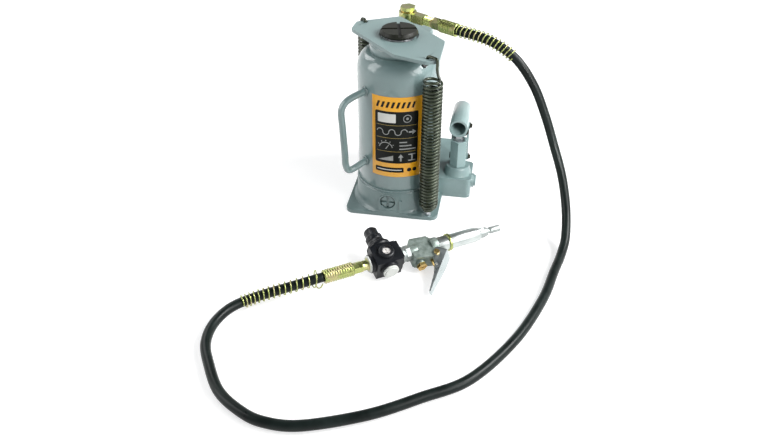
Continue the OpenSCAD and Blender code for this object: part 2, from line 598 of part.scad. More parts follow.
module line_fitting() color(steel) at_reg() difference() {
  union() {
    xcyl(reg_x, 0, 0, 10.5, 3);
    xcyl(reg_x + 3, 0, 0, 9, 3);
    translate([reg_x + 6, 0, 0]) rotate([0, 90, 0]) cylinder(r = 10.5, h = 33 - reg_x - 6, $fn = 6);
  }
  xcyl(reg_x - 1, 0, 0, 4, 50);
}
// block with a round collar at each end
module valve_body() color(zinc) at_reg() difference() {
  union() {
    translate([0, 0, -12]) linear_extrude(20) polygon([[33.5, -13], [35.5, -16], [60, -20.5], [65, -20],
      [70, -14.5], [69, -4], [65, 8], [61, 13], [39, 15], [36, 12]]);
    xcyl(33, 0, 0, 9.5, 10);
    xcyl(62, 0, 0, 11, 10);
    // flat seat of the hexagon plug
    ycyl(42, -20, -4.4, 7, 8);
  }
  xcyl(30, 0, 0, 4, 60);
  ycyl(56, -25, 0, 2 + run, 23);
  ycyl(42, -25, -4.4, 4, 8);
  translate([pivot[0], pivot[1], -8]) cylinder(r = 2, h = 20);
}
module valve_cap() color(brass) at_reg() difference() {
  union() {
    ycyl(42, -20, -4.4, 4, 2.8);
    translate([42, -23.5, -4.4]) rotate([-90, 0, 0]) cylinder(r = 6.9, h = 3.5, $fn = 6);
  }
  translate([37, -24.5, -5.2]) cube([10, 2.5, 1.6]);
}
module valve_stem() color(brass) at_reg() union() {
  ycyl(56, -39, 0, 2, 29);
  translate([56, -42, 0]) rotate([-90, 0, 0]) cylinder(r1 = 0.8, r2 = 2, h = 3.1);
}
// pressed channel: a flange that turns on the pin, and the slanted web the fingers press
module lever() color(zinc) at_reg() difference() {
  union() {
    translate([0, 0, 8 + run]) linear_extrude(lever_t) polygon([[59, -13], [66, -9], [69, -9.5],
      [77.5, -16.5], [28.5, -68.5], [27.5, -67.5], [45, -45], [50, -36], [58, -20]]);
    translate([76.3, -15.8, 8.9]) rotate([0, 0, -133.3]) rotate([-65, 0, 0]) linear_extrude(lever_t)
      polygon([[0, 0], [72, 0], [72, 7], [20, lever_w], [0, lever_w]]);
  }
  translate([pivot[0], pivot[1], 5]) cylinder(r = 2 + run, h = 10);
  translate([54.3, -33, 5]) cylinder(r = 1.6, h = 10);
}
module lever_pin() color(brass) at_reg() translate([pivot[0], pivot[1], 0]) union() {
  translate([0, 0, -8]) cylinder(r = 2, h = 18);
  translate([0, 0, 8 + lever_t + 2 * run]) cylinder(r = 3.6, h = 1.8);
}
module lock_ring() color(gold) at_line() translate([87, 0, 0]) rotate([0, 90, 0]) ring(11.2, tube_r, 3.5);
module supply_tube() color(steel) at_line() difference() {
  rotate([0, 90, 0]) rotate_extrude() polygon([[0, 72], [tube_r, 72], [tube_r, 127], [tube_r - 0.8, 129],
    [tube_r - 0.8, 132], [tube_r - 2, 134], [0, 134]]);
  xcyl(70, 0, 0, 4, 70);
}
module nipple() color(steel) at_line() difference() {
  union() {
    translate([134, 0, 0]) rotate([0, 90, 0]) cylinder(r = 7.4, h = 7, $fn = 6);
    translate([141, 0, 0]) rotate([0, 90, 0]) rotate_extrude() polygon([[0, 0], [nipple_r + 1.5, 0],
      [nipple_r + 1.5, 4], [nipple_r - 1, 5.5], [nipple_r - 1, 8], [nipple_r, 9.5], [nipple_r, 23],
      [nipple_r - 1, 24], [0, 24]]);
  }
  xcyl(130, 0, 0, 2.6, 50);
}

base_casting();
release_valve();
valve_seal();
tank();
top_nut();
rod_wiper();
inner_cylinder();
ram();
piston_seal();
extension_screw();
saddle();
lift_plate();
spring_front();
spring_rear();
spring_post_front();
spring_post_rear();
carry_handle();
filler_plug();
label();
pump_body();
pump_plunger();
handle_socket();
link_right();
link_left();
pin_link_top();
pin_link_bottom();
pin_plunger();
side_plug();
motor_foot();
motor_tube();
motor_head();
air_piston();
air_piston_seal();
air_return_spring();
muffler();
banjo_bolt();
banjo_washer_top();
banjo_washer_low();
banjo();
ferrule_jack();
hose();
guard_jack();
guard_valve();
ferrule_valve();
hex_sleeve();
regulator_body();
regulator_bonnet();
regulator_knob();
gauge_plug();
regulator_cap();
line_fitting();
valve_body();
valve_cap();
valve_stem();
lever();
lever_pin();
lock_ring();
supply_tube();
nipple();
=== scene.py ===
"""Looks of the air and hand operated bottle jack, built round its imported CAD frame.

Blender works in metres. Sizes written in millimetres are multiplied by MM.
"""
import math

import bmesh
import bpy
import numpy as np
from mathutils import Matrix, Vector


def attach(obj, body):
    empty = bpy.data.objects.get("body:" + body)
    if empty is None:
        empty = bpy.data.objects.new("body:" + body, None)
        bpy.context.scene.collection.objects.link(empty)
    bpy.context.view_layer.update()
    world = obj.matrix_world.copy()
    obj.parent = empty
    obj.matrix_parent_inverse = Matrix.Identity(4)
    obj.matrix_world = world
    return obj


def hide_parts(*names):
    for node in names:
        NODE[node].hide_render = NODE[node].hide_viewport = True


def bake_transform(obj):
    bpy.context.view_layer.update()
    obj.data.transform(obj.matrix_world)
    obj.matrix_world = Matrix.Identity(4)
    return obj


MM = 0.001
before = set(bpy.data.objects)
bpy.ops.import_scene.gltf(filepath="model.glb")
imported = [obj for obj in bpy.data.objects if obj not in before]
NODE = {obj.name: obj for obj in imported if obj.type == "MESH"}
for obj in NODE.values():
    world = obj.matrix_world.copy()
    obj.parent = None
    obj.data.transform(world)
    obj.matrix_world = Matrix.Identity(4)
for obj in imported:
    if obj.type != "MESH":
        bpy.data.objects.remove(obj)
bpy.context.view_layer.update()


def link(obj):
    """Adds an object to the scene."""
    bpy.context.scene.collection.objects.link(obj)


# ---------- camera ----------
lens = bpy.data.cameras.new("camera")
lens.lens = 37.5
lens.sensor_width = 36
camera = bpy.data.objects.new("camera", lens)
camera.location = (0.1485, -0.9512, 0.6299)
camera.rotation_euler = (math.radians(55), 0, math.radians(10))
link(camera)
bpy.context.scene.camera = camera


# ---------- mesh helpers ----------
def mesh_object(name, verts, faces, uvs=None, smooth=True):
    """Object from points and faces, with a UV pair for each face corner if uvs is given."""
    data = bpy.data.meshes.new(name)
    data.from_pydata([tuple(v) for v in verts], [], faces)
    if uvs is not None:
        layer = data.uv_layers.new(name="UVMap")
        layer.data.foreach_set("uv", np.asarray(uvs, np.float32).ravel())
    data.polygons.foreach_set("use_smooth", [smooth] * len(data.polygons))
    data.update()
    obj = bpy.data.objects.new(name, data)
    link(obj)
    return obj


def unit(v):
    return v / np.linalg.norm(v)


def frames(points, closed=False):
    """Tangent and two side vectors at each point, carried along without twist."""
    n = len(points)
    if closed:
        tangents = [unit(points[(i + 1) % n] - points[i - 1]) for i in range(n)]
    else:
        tangents = [unit(points[min(i + 1, n - 1)] - points[max(i - 1, 0)]) for i in range(n)]
    helper = np.array([0, 1.0, 0]) if abs(tangents[0][2]) > 0.8 else np.array([0, 0, 1.0])
    side = unit(np.cross(tangents[0], helper))
    out = []
    for t in tangents:
        side = unit(side - np.dot(side, t) * t)
        out.append((t, side, np.cross(t, side)))
    return out


def sweep(name, points, radius, sides, closed=False):
    """Round tube along points, with one radius or one for each point."""
    points = [np.asarray(p, float) for p in points]
    radii = radius if hasattr(radius, "__len__") else [radius] * len(points)
    ring = [2 * math.pi * k / sides for k in range(sides)]
    verts = []
    for p, r, (t, s, w) in zip(points, radii, frames(points, closed)):
        verts += [p + r * (math.cos(a) * s + math.sin(a) * w) for a in ring]
    lengths = [np.linalg.norm(b - a) for a, b in zip(points, points[1:])]
    run = np.concatenate([[0], np.cumsum(lengths)])
    faces, uvs = [], []
    n = len(points)
    for i in range(n if closed else n - 1):
        j = (i + 1) % n
        v0, v1 = run[i], run[i + 1] if i + 1 < n else run[-1] + 0.001
        for k in range(sides):
            k2 = (k + 1) % sides
            faces.append((i * sides + k, i * sides + k2, j * sides + k2, j * sides + k))
            u0, u1 = k / sides, (k + 1) / sides
            uvs += [(u0, v0), (u1, v0), (u1, v1), (u0, v1)]
    if not closed:
        first, last = tuple(reversed(range(sides))), tuple(range((n - 1) * sides, n * sides))
        faces += [first, last]
        uvs += [(0, 0)] * (2 * sides)
    return mesh_object(name, verts, faces, uvs)


def lathe(name, profile, place, steps):
    """Ring turned about +Z from (radius, height) points in millimetres, then moved by place."""
    n = len(profile)
    verts, faces = [], []
    for i in range(steps):
        a = 2 * math.pi * i / steps
        for r, z in profile:
            verts.append(place @ Vector((r * MM * math.cos(a), r * MM * math.sin(a), z * MM)))
    for i in range(steps):
        j = (i + 1) % steps
        for k in range(n):
            k2 = (k + 1) % n
            faces.append((i * n + k, j * n + k, j * n + k2, i * n + k2))
    return mesh_object(name, verts, faces)


def heading(angle):
    """Level unit vector at an angle in degrees."""
    return np.array([math.cos(math.radians(angle)), math.sin(math.radians(angle)), 0])


def curve_at(points, t):
    """Point on a smooth curve through points, t counted from the second one."""
    i = min(int(t), len(points) - 4)
    u = t - i
    a, b, c, d = points[i:i + 4]
    return 0.5 * (2 * b + (c - a) * u + (2 * a - 5 * b + 4 * c - d) * u * u
                  + (3 * b - a - 3 * c + d) * u ** 3)


# ---------- hose and its guard springs ----------
# height and heading of the air line's axis and of the banjo's eye
LINE_Z, LINE_ANGLE = 17.8, 34.5
EYE_Z, EYE_ANGLE = 235, -31.1
route = [np.array(p, float) * MM for p in (
    (36.078, 62.771, EYE_Z), (70.328, 42.11, EYE_Z), (112, 26, 231), (147, 19, 213), (174, 12, 181),
    (193, 4, 144), (209, -7, 106), (224, -25, 70), (233, -51, 38), (235, -85, 16), (230, -115, 8),
    (222, -147, 6.4), (208, -206, 6.4), (179, -280, 6.4), (135, -348, 6.4), (87, -383, 6.4),
    (37, -415, 6.4), (-25, -440, 6.4), (-64, -442, 6.4), (-92, -432, 6.4), (-122, -410, 6.4),
    (-146, -374, 6.4), (-160, -345, 6.4), (-162, -315, 7.2), (-152, -287, 8.4), (-131, -267, 10.2),
    (-96, -247, 14.4), (-54.6, -222.4, LINE_Z), (-20, -198.6, LINE_Z))]
HOSE_R = 6 * MM
GUARD_R = 0.8 * MM
SPANS = len(route) - 3
HOSE_STEPS = 12 * SPANS
eye_dir, line_dir = heading(EYE_ANGLE), heading(LINE_ANGLE)
hose_start, hose_end = curve_at(route, 0), curve_at(route, SPANS)
# straight for its first and last 3 millimetres
hose_path = [hose_start + 0.05 * MM * eye_dir, hose_start + 3 * MM * eye_dir]
hose_path += [curve_at(route, SPANS * i / HOSE_STEPS) for i in range(4, HOSE_STEPS - 3)]
hose_path += [hose_end - 3 * MM * line_dir, hose_end - 0.05 * MM * line_dir]
hose = sweep("hose_line", hose_path, HOSE_R, 24)


def guard(name, t0, t1, turns, flare):
    """Wire spring wound round the hose from t0 to t1 of its route.

    Where flare is set, its last loops are wider.
    """
    steps = 24
    points = []
    for j in range(turns * steps + 1):
        f = j / (turns * steps)
        t = t0 + (t1 - t0) * f
        d = unit(curve_at(route, t + 0.01) - curve_at(route, t - 0.01))
        s = unit(np.cross(d, [0, 0, 1]))
        w = np.cross(s, d)
        a = 2 * math.pi * j / steps
        r = HOSE_R + GUARD_R + 0.9 * MM + flare * 4.5 * MM * max(0, f - 0.88) / 0.12
        # the last loop also leans, its top towards the ferrule
        lean = flare * 4 * MM * max(0, f - 0.9) / 0.1 * math.sin(a)
        points.append(curve_at(route, t) + lean * d + r * (math.cos(a) * s + math.sin(a) * w))
    return sweep(name, points, GUARD_R, 8)


guard_jack = guard("guard_spring_jack", 0.05, 1.95, 14, 0)
guard_valve = guard("guard_spring_valve", 23.6, 25.9, 15, 1)
for obj, node, slot in ((hose, "hose", "hose_rubber"), (guard_jack, "guard_jack", "gold_zinc"),
                        (guard_valve, "guard_valve", "gold_zinc")):
    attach(obj, "jack")
    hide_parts(node)
# the regulator turns with the air line, and its port and knob lean by 15 degrees
regulator_place = Matrix.Translation((0.013, -0.176, LINE_Z * MM))
regulator_place = regulator_place @ Matrix.Rotation(math.radians(LINE_ANGLE), 4, "Z")
line_place = regulator_place @ Matrix.Rotation(math.radians(90), 4, "Y")
port_place = regulator_place @ Matrix.Rotation(math.radians(15), 4, "X")
knob_place = port_place @ Matrix.Rotation(math.radians(-90), 4, "X")
# pale gasket between the hex sleeve and the regulator
gasket = lathe("inlet_gasket", [(6.45, -23.6), (10.4, -23.6), (10.9, -23.1), (10.9, -21.4), (6.45, -21.1)],
               line_place, 48)
port_ring = lathe("port_ring", [(5.0, 17.65), (5.2, 18.5), (6.2, 18.9), (9.2, 18.6), (9.8, 17.9),
                                (9.8, 17.05), (6.1, 17.05), (6.1, 17.65)], port_place, 48)
bonnet_ring = lathe("bonnet_ring", [(14.05, 15.1), (16.0, 15.5), (16.2, 20.6), (15.2, 22.2), (12.6, 22.4),
                                    (12.6, 19.1), (14.05, 19.0)], knob_place, 16)
for obj, slot in ((gasket, "white_plastic"), (port_ring, "black_plastic"),
                  (bonnet_ring, "black_plastic")):
    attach(obj, "jack")


# ---------- materials ----------
def add(tree, kind, links=(), **values):
    """New node with its sockets set, and linked from (output, input name) pairs."""
    node = tree.nodes.new(kind)
    for key, value in values.items():
        if key in node.inputs:
            node.inputs[key].default_value = value
        else:
            setattr(node, key, value)
    for output, name in links:
        tree.links.new(output, node.inputs[name])
    return node


def ramp(tree, source, stops):
    """Colour of source between stops of (position, colour)."""
    node = add(tree, "ShaderNodeValToRGB", [(source, "Fac")])
    while len(node.color_ramp.elements) < len(stops):
        node.color_ramp.elements.new(0.5)
    for element, (position, colour) in zip(node.color_ramp.elements, stops):
        element.position = position
        element.color = (*colour, 1)
    return node.outputs["Color"]


def finish(name, colours, metal, rough, patch=25.0, grain=900.0, depth=0.02, stretch=(1, 1, 1),
           coat=0.0, edge=None, lumps=0.0, shine=0.5):
    """Material whose colour drifts through colours, with uneven gloss and a fine grain.

    With edge its corners are worn to that colour, and with lumps it has a coarser relief too.
    """
    mat = bpy.data.materials.new(name)
    mat.use_nodes = True
    tree = mat.node_tree
    shader = tree.nodes["Principled BSDF"]
    place = add(tree, "ShaderNodeTexCoord").outputs["Object"]
    fitted = add(tree, "ShaderNodeMapping", [(place, "Vector")], Scale=stretch).outputs["Vector"]
    drift = add(tree, "ShaderNodeTexNoise", [(fitted, "Vector")], Scale=patch, Detail=4.0, Roughness=0.6)
    fine = add(tree, "ShaderNodeTexNoise", [(fitted, "Vector")], Scale=grain, Detail=3.0, Roughness=0.6)
    stops = [(0.3 + 0.4 * i / (len(colours) - 1), c) for i, c in enumerate(colours)]
    colour = ramp(tree, drift.outputs["Fac"], stops)
    gloss = add(tree, "ShaderNodeMapRange", [(drift.outputs["Fac"], "Value")],
                **{"From Min": 0.3, "From Max": 0.7, "To Min": rough[0], "To Max": rough[1]})
    tree.links.new(gloss.outputs["Result"], shader.inputs["Roughness"])
    if edge:
        worn = add(tree, "ShaderNodeNewGeometry").outputs["Pointiness"]
        patchy = add(tree, "ShaderNodeTexNoise", [(place, "Vector")], Scale=160.0, Detail=5.0, Roughness=0.7)
        both = add(tree, "ShaderNodeMath", [(worn, 0), (patchy.outputs["Fac"], 1)], operation="MULTIPLY")
        mask = add(tree, "ShaderNodeMapRange", [(both.outputs["Value"], "Value")],
                   **{"From Min": 0.355, "From Max": 0.385, "To Min": 0.0, "To Max": 0.8})
        blended = add(tree, "ShaderNodeMix", [(mask.outputs["Result"], "Factor")], data_type="RGBA")
        tree.links.new(colour, blended.inputs["A"])
        blended.inputs["B"].default_value = (*edge, 1)
        colour = blended.outputs["Result"]
    tree.links.new(colour, shader.inputs["Base Color"])
    height = fine.outputs["Fac"]
    if lumps:
        coarse = add(tree, "ShaderNodeTexNoise", [(place, "Vector")], Scale=lumps, Detail=2.0)
        height = add(tree, "ShaderNodeMath", [(fine.outputs["Fac"], 0), (coarse.outputs["Fac"], 1)],
                     operation="ADD").outputs["Value"]
    bump = add(tree, "ShaderNodeBump", [(height, "Height")], Strength=1.0, Distance=depth * MM)
    tree.links.new(bump.outputs["Normal"], shader.inputs["Normal"])
    shader.inputs["Metallic"].default_value = metal
    shader.inputs["Coat Weight"].default_value = coat
    shader.inputs["Coat Roughness"].default_value = 0.05
    shader.inputs["Specular IOR Level"].default_value = shine
    return mat


PAINT = finish("paint_grey", [(0.142, 0.212, 0.211), (0.160, 0.236, 0.234), (0.176, 0.254, 0.251)], 0.0,
               (0.30, 0.42), patch=18, grain=420, depth=0.03, coat=0.8, edge=(0.28, 0.36, 0.36), lumps=90)
# paint on the casting: a darker copy of the grey paint, painted shade on the base, release valve and side
# plug; its coarse relief is real
SHADED_CAST_PAINT = finish("paint_on_casting_shaded_copy", [(0.104, 0.158, 0.158), (0.126, 0.188, 0.186), (0.148, 0.214, 0.212)], 0.0,
              (0.34, 0.48), patch=30, grain=700, depth=0.12, coat=0.5, edge=(0.27, 0.34, 0.34), lumps=160)
STEEL = finish("bare_steel", [(0.42, 0.43, 0.45), (0.60, 0.61, 0.63)], 1.0, (0.22, 0.36), patch=40, grain=500,
               depth=0.01, stretch=(1, 1, 14))
SPRING = finish("black_spring_steel", [(0.012, 0.018, 0.008), (0.030, 0.040, 0.022), (0.055, 0.068, 0.042)],
                0.5, (0.22, 0.36), patch=60, grain=1500, depth=0.006, coat=0.15)
# paint on the lifting plate: a lighter copy of the grey paint, painted light on its top
LIT_PLATE_PAINT = finish("paint_on_plate_lit_copy", [(0.166, 0.236, 0.234), (0.184, 0.260, 0.257), (0.202, 0.280, 0.276)], 0.0,
               (0.34, 0.46), patch=18, grain=420, depth=0.03, coat=0.25, edge=(0.28, 0.36, 0.36), lumps=90)
# paint on the handle socket: a lighter copy of the grey paint, painted light
LIT_SOCKET_PAINT = finish("paint_on_socket_lit_copy", [(0.196, 0.276, 0.274), (0.220, 0.304, 0.301), (0.240, 0.326, 0.322)], 0.0,
                (0.32, 0.44), patch=18, grain=420, depth=0.03, coat=0.6, edge=(0.32, 0.40, 0.40), lumps=90)
BLACK = finish("black_steel", [(0.008, 0.009, 0.006), (0.019, 0.020, 0.014)], 0.0, (0.36, 0.5), patch=70,
               grain=800, depth=0.03, edge=(0.07, 0.075, 0.05), shine=0.2)
GOLD = finish("gold_zinc", [(0.23, 0.26, 0.08), (0.44, 0.46, 0.18), (0.33, 0.39, 0.13), (0.50, 0.43, 0.24),
                            (0.40, 0.43, 0.16)], 1.0, (0.22, 0.34), patch=70, grain=900, depth=0.006)
BRASS = finish("brass", [(0.50, 0.34, 0.10), (0.72, 0.52, 0.20), (0.80, 0.62, 0.28)], 1.0, (0.22, 0.34),
               patch=90, grain=900, depth=0.012)
ZINC = finish("cast_zinc", [(0.13, 0.175, 0.155), (0.21, 0.26, 0.235), (0.32, 0.38, 0.35)], 0.6, (0.36, 0.5),
              patch=120, grain=1100, depth=0.05, lumps=300)
PLATED = finish("plated_lever", [(0.44, 0.49, 0.49), (0.54, 0.59, 0.59)], 1.0, (0.24, 0.36), patch=90,
                grain=900, depth=0.008)
PLUG = finish("nickel_plug", [(0.62, 0.58, 0.56), (0.80, 0.78, 0.76)], 0.3, (0.2, 0.3), patch=200, grain=900,
              depth=0.01)
CHROME = finish("polished_steel", [(0.28, 0.31, 0.30), (0.38, 0.41, 0.40)], 0.6, (0.38, 0.46), patch=60,
                grain=900, depth=0.002)
ALUMINIUM = finish("aluminium", [(0.50, 0.54, 0.53), (0.60, 0.64, 0.62)], 1.0, (0.30, 0.38), patch=60,
                   grain=900, depth=0.002)
PLASTIC = finish("black_plastic", [(0.005, 0.006, 0.008), (0.012, 0.013, 0.016)], 0.0, (0.26, 0.40), patch=50,
                 grain=1300, depth=0.01, edge=(0.03, 0.03, 0.034), shine=0.3)
WHITE = finish("white_plastic", [(0.60, 0.62, 0.58), (0.74, 0.75, 0.72)], 0.0, (0.3, 0.42), patch=90,
               grain=1200, depth=0.015)
RUBBER = finish("hose_rubber", [(0.003, 0.005, 0.0045), (0.006, 0.010, 0.009), (0.010, 0.016, 0.0145)], 0.0,
                (0.26, 0.38), patch=45, grain=1600, depth=0.012, lumps=500, shine=0.18)
SEAL = finish("seal_rubber", [(0.010, 0.010, 0.010), (0.02, 0.02, 0.02)], 0.0, (0.6, 0.75), patch=80,
              grain=1200, depth=0.02)
ORANGE = finish("label_orange", [(0.80, 0.36, 0.006), (0.86, 0.40, 0.008), (0.88, 0.42, 0.010)], 0.0,
                (0.28, 0.36), patch=30, grain=900, depth=0.006, coat=0.3)
INK = finish("label_black", [(0.003, 0.004, 0.003), (0.007, 0.009, 0.007)], 0.0, (0.30, 0.40), patch=30,
             grain=900, depth=0.006, shine=0.15)
PALE = finish("label_pale", [(0.62, 0.62, 0.58), (0.72, 0.72, 0.69)], 0.0, (0.3, 0.4), patch=30, grain=900,
              depth=0.006, coat=0.3)
GREY = finish("label_grey", [(0.22, 0.23, 0.22), (0.34, 0.35, 0.34)], 0.0, (0.3, 0.4), patch=60, grain=900,
              depth=0.006, coat=0.3)
LINE = finish("label_gold_line", [(0.30, 0.21, 0.04), (0.42, 0.31, 0.07)], 0.0, (0.3, 0.4), patch=30,
              grain=900, depth=0.006, coat=0.3)
WELD = finish("painted_weld", [(0.130, 0.186, 0.186), (0.170, 0.240, 0.238)], 0.0, (0.28, 0.4), patch=120,
              grain=900, depth=0.05, coat=0.5, lumps=500)


def wear(obj, mat):
    """Gives an object its only material."""
    obj.data.materials.clear()
    obj.data.materials.append(mat)
    return obj


for obj, mat in ((hose, RUBBER), (guard_jack, GOLD), (guard_valve, GOLD),
                 (gasket, WHITE), (port_ring, PLASTIC), (bonnet_ring, PLASTIC)):
    wear(obj, mat)

# ---------- CAD nodes: materials and softened corners ----------
LOOKS = {
    PAINT: ("tank", "top_nut", "carry_handle", "motor_tube", "motor_head", "motor_foot",
            "link_right", "link_left", "pump_body"),
    LIT_PLATE_PAINT: ("lift_plate",),
    LIT_SOCKET_PAINT: ("handle_socket",),
    SHADED_CAST_PAINT: ("base_casting", "release_valve", "side_plug"),
    STEEL: ("inner_cylinder", "ram", "extension_screw", "pump_plunger", "spring_post_front",
            "spring_post_rear", "air_return_spring"),
    BLACK: ("saddle", "pin_link_top", "pin_link_bottom", "pin_plunger"),
    SPRING: ("spring_front", "spring_rear"),
    GOLD: ("banjo_bolt", "banjo", "ferrule_jack", "ferrule_valve", "hex_sleeve", "lock_ring", "guard_jack",
           "guard_valve"),
    BRASS: ("muffler", "banjo_washer_top", "banjo_washer_low", "valve_cap", "valve_stem", "lever_pin"),
    ZINC: ("valve_body",),
    PLATED: ("lever",),
    CHROME: ("line_fitting", "nipple"),
    PLUG: ("gauge_plug",),
    ALUMINIUM: ("supply_tube", "air_piston"),
    PLASTIC: ("regulator_body", "regulator_bonnet", "regulator_knob"),
    WHITE: ("regulator_cap",),
    ORANGE: ("label",),
    RUBBER: ("hose",),
    SEAL: ("valve_seal", "rod_wiper", "piston_seal", "air_piston_seal", "filler_plug"),
}
# widths of the softened corners in millimetres, 0.3 for every other node
BEVEL = {"base_casting": 1.6, "tank": 0.5, "lift_plate": 0.9, "handle_socket": 0.6, "pump_body": 0.6,
         "saddle": 0.7, "regulator_body": 1.2, "valve_body": 1.2, "motor_foot": 0.8, "motor_head": 0.8,
         "top_nut": 0.5}
for mat, names in LOOKS.items():
    for name in names:
        obj = NODE[name]
        for slot in obj.material_slots:
            slot.material = mat
        join = obj.modifiers.new("join", "WELD")
        join.merge_threshold = 0.00001
        soft = obj.modifiers.new("soft", "BEVEL")
        soft.width = BEVEL.get(name, 0.3) * MM
        soft.segments = 2
        soft.limit_method = "ANGLE"
        soft.angle_limit = math.radians(32)
        soft.harden_normals = True


# ---------- return springs ----------
TURN_STEPS = 28
# underside and top of the lifting plate
LIFT_Z, OVER_Z = 236.8, 241.3
COIL_R, WIRE_R = 11.15, 1.85
COIL_LOW, COIL_HIGH = 21.85, 206.85
COIL_TURNS, COIL_PITCH = 38.5, 4.7
# the small turns on the post, from their own height up to the body's first turn
POST_TURNS, POST_R, POST_Z = 2.2, 6.2, 12.3
POST_RISE = 9.55


def on_circle(centre, radius, angle, z):
    """Point at an angle in radians on a level circle."""
    return np.array([centre[0] + radius * math.cos(angle), centre[1] + radius * math.sin(angle), z])


def return_spring(name, node, centre, hook, edge, leave, rise=0.0, opened=3.2, taller=0.0):
    """Closely wound tension spring, from its post to the lifting plate.

    It has small turns on the post, the body, and the wire over the plate into its hole. The top
    end of the body points to leave in degrees, rise lifts the whole coil, opened is how far its
    last two turns stand open, and taller adds turns on top.
    """
    end = math.radians(leave)
    turns = COIL_TURNS + taller / COIL_PITCH
    high = COIL_HIGH + rise + taller
    total = int(turns * TURN_STEPS)
    body = []
    for j in range(total + 1):
        f = j / total
        a = end - 2 * math.pi * turns * (1 - f)
        # the last two turns stand a little open
        opening = opened * max(0, (f * turns - turns + 2) / 2) ** 1.5
        z = COIL_LOW + rise + (high - opened - COIL_LOW - rise) * f + opening
        body.append(on_circle(centre, COIL_R, a, z))
    tail_start = end - 2 * math.pi * turns
    tail = []
    for j in range(int(POST_TURNS * TURN_STEPS)):
        f = j / (POST_TURNS * TURN_STEPS)
        a = tail_start - 2 * math.pi * POST_TURNS * (1 - f)
        grow = min(1, max(0, (f - 0.4) / 0.6))
        grow = grow * grow * (3 - 2 * grow)
        tail.append(on_circle(centre, POST_R + (COIL_R - POST_R) * grow, a, POST_Z + rise + POST_RISE * f))
    top = on_circle(centre, COIL_R, end, high)
    w, g = np.array([*edge, 0.0]), np.array([*hook, 0.0])
    u = unit(g - w)
    # from the coil's last turn up to the plate's edge, over it and down into the hole
    reach = LIFT_Z - high
    near, far = min(5, 0.25 * reach), min(6, 0.2 * reach)
    mid = (top + w) / 2
    mid[2] = (top[2] + LIFT_Z - far) / 2
    up = np.array([0, 0, 1.0])
    knots = [top - near * up, top + near * up, mid,
             w + (LIFT_Z - far) * up, w + LIFT_Z * up, w + (OVER_Z - 1.2) * up,
             w + 0.7 * u + (OVER_Z + 1.2) * up, w + 2.6 * u + (OVER_Z + 2.4) * up,
             w + 5 * u + (OVER_Z + 2.6) * up, g - 3 * u + (OVER_Z + 2.6) * up,
             g - 0.9 * u + (OVER_Z + 1.6) * up, g + (OVER_Z - 0.8) * up,
             g + LIFT_Z * up, g + (LIFT_Z - 4.3) * up, g + (LIFT_Z - 9) * up]
    wire = [curve_at(knots, t) for t in np.arange(0, 12.01, 0.25)]
    points = [p * MM for p in tail + body + wire]
    obj = wear(sweep(name, points, WIRE_R * MM, 12), SPRING)
    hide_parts(node)
    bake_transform(obj)
    return obj


SPRING_D = 71.4
front = (SPRING_D * math.cos(math.radians(-44.4)), SPRING_D * math.sin(math.radians(-44.4)))
rear = (-front[0], -front[1])
return_spring("return_spring_front", "spring_front", front, (45, -66), (58, -73.6), -40)
return_spring("return_spring_rear", "spring_rear", rear, (-50, 36), (-56.5, 41.7), 200,
              rise=8.0, opened=0.6, taller=8.5)

AIR_TURNS, AIR_LOW, AIR_HIGH = 12, 46.7, 176.2
air_points = []
for j in range(AIR_TURNS * TURN_STEPS + 1):
    f = j / (AIR_TURNS * TURN_STEPS)
    a = -2 * math.pi * AIR_TURNS * (1 - f)
    air_points.append(on_circle((0, 92), 18.5, a, AIR_LOW + (AIR_HIGH - AIR_LOW) * f) * MM)
air_spring = wear(sweep("air_motor_spring", air_points, 1.5 * MM, 10), STEEL)
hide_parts("air_return_spring")
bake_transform(air_spring)

# ---------- extension screw with a real thread ----------
SCREW_LOW, SCREW_HIGH, PITCH, CREST, ROOT = 158.1, 243.1, 5.0, 15.9, 14.1
ROW, AROUND = 0.5, 48
rows = [SCREW_LOW + ROW * k for k in range(int((SCREW_HIGH - SCREW_LOW) / ROW) + 1)]
verts, faces = [], []
for z in rows:
    for k in range(AROUND):
        a = 2 * math.pi * k / AROUND
        phase = ((z - SCREW_LOW) / PITCH - k / AROUND) % 1
        tooth = min(1, max(0, min(phase, 1 - phase) * 4 - 0.4))
        # the thread fades out at both ends, and the top 11 mm are plain
        fade = min(1, max(0, (z - SCREW_LOW) / 3)) * min(1, max(0, (SCREW_HIGH - 11 - z) / 3))
        r = ROOT + (CREST - ROOT) * tooth * fade
        verts.append((r * math.cos(a) * MM, r * math.sin(a) * MM, z * MM))
for i in range(len(rows) - 1):
    low, high = i * AROUND, (i + 1) * AROUND
    for k in range(AROUND):
        k2 = (k + 1) % AROUND
        faces.append((low + k, low + k2, high + k2, high + k))
faces.append(tuple(reversed(range(AROUND))))
faces.append(tuple(range((len(rows) - 1) * AROUND, len(rows) * AROUND)))
thread = wear(mesh_object("screw_thread", verts, faces), STEEL)
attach(thread, "screw")
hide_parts("extension_screw")


# ---------- label artwork, laid on the label as thin inlays ----------
LABEL_R = 54.38
LABEL_Z = 63.0
LABEL_W = 68.1
LABEL_START, LABEL_SPREAD = -119, 72


def rounded(u0, v0, u1, v1, r=0.0):
    """Rectangle with rounded corners as a list of (across, up) points."""
    if not r:
        return [(u0, v0), (u1, v0), (u1, v1), (u0, v1)]
    points = []
    corners = ((u1 - r, v1 - r, 0), (u0 + r, v1 - r, 90), (u0 + r, v0 + r, 180), (u1 - r, v0 + r, 270))
    for cu, cv, start in corners:
        for k in range(5):
            a = math.radians(start + 22.5 * k)
            points.append((cu + r * math.cos(a), cv + r * math.sin(a)))
    return points


def arc_band(cu, cv, r0, r1, a0, a1, steps):
    """Quads of a curved band between two radii, angles in degrees."""
    bands = []
    for k in range(steps):
        a, b = (math.radians(a0 + (a1 - a0) * (k + j) / steps) for j in (0, 1))
        bands.append([(cu + r * math.cos(t), cv + r * math.sin(t))
                      for r, t in ((r0, a), (r1, a), (r1, b), (r0, b))])
    return bands


